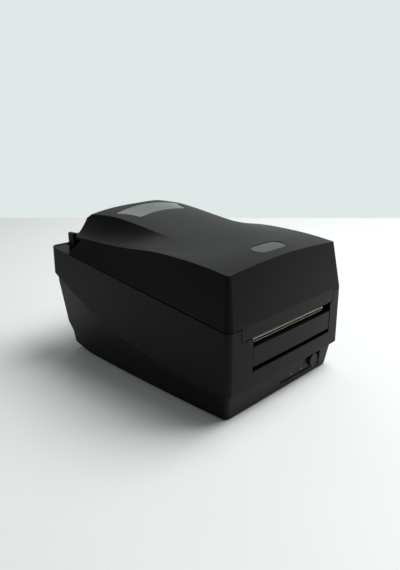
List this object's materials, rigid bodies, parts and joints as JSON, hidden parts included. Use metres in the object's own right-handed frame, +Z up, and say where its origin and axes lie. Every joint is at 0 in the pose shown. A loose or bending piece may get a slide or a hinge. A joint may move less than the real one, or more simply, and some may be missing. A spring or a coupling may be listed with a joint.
{
  "type": "barcode printer",
  "caption": "Desktop thermal-transfer barcode label printer with a hinged humped cover, front label slot with tear bar, feed button and lamps.",
  "frame": {"origin": "centre of the bounding box in X and Y at the level of the feet", "axes": "+Z up, +X to the right seen from the front, +Y to the rear, so the label leaves towards -Y"},
  "size_m": [0.198, 0.28, 0.1774],
  "materials": {
    "case_black": "satin black ABS with a fine moulded texture",
    "panel_plastic": "dark grey moulded plastic",
    "window_plastic": "smoked see-through polycarbonate",
    "badge_blank": "smooth grey plate, left bare",
    "lamp_lens": "clear lens",
    "black_rubber": "black rubber",
    "zinc_steel": "zinc plated steel",
    "bright_steel": "ground stainless steel",
    "motor_body": "black painted motor with bare end caps",
    "sink_aluminium": "extruded aluminium",
    "head_ceramic": "glazed ceramic strip",
    "gear_white": "white acetal",
    "inner_grey": "dark grey moulded plastic",
    "board_green": "glass fibre board with green coating",
    "chip_black": "black moulded package",
    "capacitor_sleeve": "printed plastic sleeve",
    "cable_grey": "flat grey ribbon cable",
    "socket_metal": "nickel plated shell",
    "socket_plastic": "black moulded plastic"
  },
  "bodies": {
    "case": {"board_capacitors": "capacitor_sleeve", "board_chips": "chip_black", "bottom_case": "case_black", "button_spring": "zinc_steel", "carriage_shaft": "bright_steel", "case_screws": "zinc_steel", "control_panel": "panel_plastic", "front_plate": "case_black", "gear_studs": "zinc_steel", "hinge_pins": "zinc_steel", "interface_board": "board_green", "lamp_lenses": "lamp_lens", "left_inner_cover": "inner_grey", "left_side_frame": "zinc_steel", "machine_screws": "zinc_steel", "main_board": "board_green", "media_bed": "inner_grey", "media_sensor": "inner_grey", "media_tray": "inner_grey", "middle_case": "case_black", "panel_board": "board_green", "panel_cable": "cable_grey", "parallel_socket": "socket_metal", "platen_bushings": "gear_white", "power_inlet": "socket_plastic", "power_switch_body": "socket_plastic", "right_inner_cover": "inner_grey", "right_side_frame": "zinc_steel", "rubber_feet": "black_rubber", "serial_socket": "socket_metal", "stepper_motor": "motor_body", "usb_socket": "socket_metal"},
    "cover": {"top_cover": "case_black", "cover_window": "window_plastic", "badge_plate": "badge_blank"},
    "head": {"head_carriage": "zinc_steel", "heat_sink": "sink_aluminium", "thermal_head": "head_ceramic", "head_springs": "zinc_steel", "tear_bar": "bright_steel", "ribbon_rods": "bright_steel"},
    "platen": {"platen_shaft": "bright_steel", "platen_roller": "black_rubber", "platen_gear": "gear_white"},
    "idler": {"idler_gear": "gear_white"},
    "motor": {"motor_pinion": "bright_steel"},
    "lift": {"lift_gear": "gear_white"},
    "rewind": {"rewind_spindle": "inner_grey", "rewind_gear": "gear_white"},
    "supply": {"supply_spindle": "inner_grey"},
    "holder_left": {"left_holder": "inner_grey"},
    "holder_right": {"right_holder": "inner_grey"},
    "holder_gear": {"holder_pinion": "gear_white"},
    "hub_left": {"left_hub": "inner_grey"},
    "hub_right": {"right_hub": "inner_grey"},
    "guide_left": {"left_guide": "inner_grey"},
    "guide_right": {"right_guide": "inner_grey"},
    "guide_gear": {"guide_pinion": "gear_white"},
    "button": {"feed_button": "panel_plastic"},
    "rocker": {"power_rocker": "socket_plastic"}
  },
  "joints": [
    {"name": "cover_hinge", "type": "hinge", "parent": "case", "child": "cover", "pos_m": [0, 0.118, 0.138], "axis": [-1, 0, 0], "range_deg": [0, 90]},
    {"name": "head_tilt", "type": "hinge", "parent": "case", "child": "head", "pos_m": [0, -0.008, 0.098], "axis": [-1, 0, 0], "range_deg": [0, 45]},
    {"name": "platen_spin", "type": "hinge", "parent": "case", "child": "platen", "pos_m": [0, -0.122, 0.0665], "axis": [1, 0, 0], "continuous": true},
    {"name": "idler_spin", "type": "hinge", "parent": "case", "child": "idler", "pos_m": [-0.07, -0.1114, 0.05049], "axis": [1, 0, 0], "continuous": true},
    {"name": "motor_spin", "type": "hinge", "parent": "case", "child": "motor", "pos_m": [-0.06, -0.08985, 0.04191], "axis": [1, 0, 0], "continuous": true},
    {"name": "lift_spin", "type": "hinge", "parent": "case", "child": "lift", "pos_m": [-0.068, -0.10059, 0.09028], "axis": [1, 0, 0], "continuous": true},
    {"name": "rewind_spin", "type": "hinge", "parent": "head", "child": "rewind", "pos_m": [0, -0.08798, 0.124], "axis": [1, 0, 0], "continuous": true},
    {"name": "supply_spin", "type": "hinge", "parent": "head", "child": "supply", "pos_m": [0, -0.036, 0.122], "axis": [1, 0, 0], "continuous": true},
    {"name": "left_holder_slide", "type": "slide", "parent": "case", "child": "holder_left", "axis": [-1, 0, 0], "range_m": [0, 0.044]},
    {"name": "right_holder_slide", "type": "slide", "parent": "case", "child": "holder_right", "axis": [1, 0, 0], "range_m": [0, 0.044]},
    {"name": "holder_pinion_spin", "type": "hinge", "parent": "case", "child": "holder_gear", "pos_m": [0, 0.062, 0.0355], "axis": [0, 0, 1], "range_deg": [-320, 0]},
    {"name": "left_hub_spin", "type": "hinge", "parent": "holder_left", "child": "hub_left", "pos_m": [-0.008, 0.062, 0.108], "axis": [1, 0, 0], "continuous": true},
    {"name": "right_hub_spin", "type": "hinge", "parent": "holder_right", "child": "hub_right", "pos_m": [0.008, 0.062, 0.108], "axis": [1, 0, 0], "continuous": true},
    {"name": "left_guide_slide", "type": "slide", "parent": "case", "child": "guide_left", "axis": [1, 0, 0], "range_m": [0, 0.034]},
    {"name": "right_guide_slide", "type": "slide", "parent": "case", "child": "guide_right", "axis": [-1, 0, 0], "range_m": [0, 0.034]},
    {"name": "guide_pinion_spin", "type": "hinge", "parent": "case", "child": "guide_gear", "pos_m": [0, -0.042, 0.068], "axis": [0, 0, 1], "range_deg": [0, 250]},
    {"name": "button_press", "type": "slide", "parent": "case", "child": "button", "axis": [0, 1, 0], "range_m": [0, 0.0012], "stiffness_N_per_m": 300, "springref_m": -0.002, "deforming": ["button_spring"]},
    {"name": "rocker_tilt", "type": "hinge", "parent": "case", "child": "rocker", "pos_m": [0.058, 0.1323, 0.068], "axis": [1, 0, 0], "range_deg": [0, 14]}
  ],
  "couplings": [
    {"joint": "head_tilt", "follows": "cover_hinge", "ratio": 0.5},
    {"joint": "idler_spin", "follows": "platen_spin", "ratio": -1.6667},
    {"joint": "motor_spin", "follows": "platen_spin", "ratio": 5.2381},
    {"joint": "lift_spin", "follows": "platen_spin", "ratio": -0.6},
    {"joint": "rewind_spin", "follows": "platen_spin", "ratio": 0.75},
    {"joint": "right_holder_slide", "follows": "left_holder_slide", "ratio": 1},
    {"joint": "holder_pinion_spin", "follows": "left_holder_slide", "rad_per_m": -125},
    {"joint": "right_guide_slide", "follows": "left_guide_slide", "ratio": 1},
    {"joint": "guide_pinion_spin", "follows": "left_guide_slide", "rad_per_m": 125}
  ]
}
